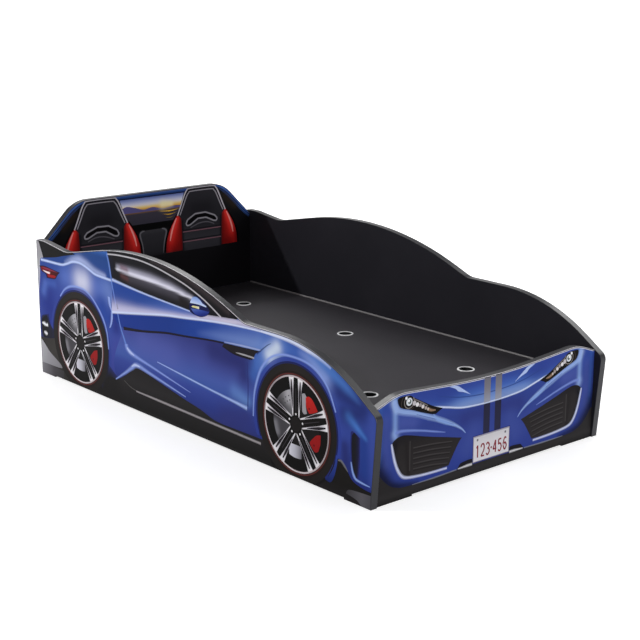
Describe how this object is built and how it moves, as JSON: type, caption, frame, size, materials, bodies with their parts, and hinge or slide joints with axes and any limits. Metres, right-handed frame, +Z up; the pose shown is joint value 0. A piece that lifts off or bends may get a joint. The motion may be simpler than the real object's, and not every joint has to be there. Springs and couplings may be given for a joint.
{
  "type": "children's car bed",
  "caption": "Low children's bed in the shape of a sports car, with printed side, nose and head panels round a vented deck board that carries a mattress.",
  "frame": {"origin": "on the floor under the middle of the bounding box", "axes": "+X from the headboard to the nose, +Y to the bed's left side, +Z up"},
  "size_m": [1.3858, 0.75, 0.4757],
  "materials": {
    "black_board": "black melamine-faced board, satin",
    "right_side_print": "printed film, satin gloss",
    "left_side_print": "printed film, satin gloss",
    "nose_print": "printed film, satin gloss",
    "headboard_print": "printed film, satin gloss",
    "panel_edge_band": "extruded edge band, satin grey",
    "deck_edge_band": "extruded edge band, satin dark grey",
    "vent_ring": "moulded, bright silver",
    "pine_batten": "planed softwood",
    "dowel": "fluted beech",
    "zinc_plate": "zinc plated",
    "cam_zinc": "die-cast zinc alloy",
    "cap_plastic": "moulded black"
  },
  "bodies": {
    "root": {"right_side_panel": "black_board", "left_side_panel": "black_board", "headboard_panel": "black_board", "nose_panel": "black_board", "right_side_print": "right_side_print", "left_side_print": "left_side_print", "nose_print": "nose_print", "headboard_print": "headboard_print", "right_side_edge_band": "panel_edge_band", "left_side_edge_band": "panel_edge_band", "headboard_edge_band": "panel_edge_band", "nose_edge_band": "panel_edge_band", "deck_board": "black_board", "deck_edge_band": "deck_edge_band", "right_deck_rail": "pine_batten", "left_deck_rail": "pine_batten", "head_deck_rail": "pine_batten", "nose_deck_rail": "pine_batten", "rear_bearer": "pine_batten", "front_bearer": "pine_batten", "bearer_brackets": "zinc_plate", "bracket_screws": "zinc_plate", "rail_screws": "zinc_plate", "cam_bolts": "zinc_plate", "cam_housings": "cam_zinc", "cam_caps": "cap_plastic", "dowels": "dowel", "deck_vent_ring_1": "vent_ring", "deck_vent_ring_2": "vent_ring", "deck_vent_ring_3": "vent_ring", "deck_vent_ring_4": "vent_ring", "deck_vent_ring_5": "vent_ring", "deck_vent_ring_6": "vent_ring"}
  },
  "joints": []
}
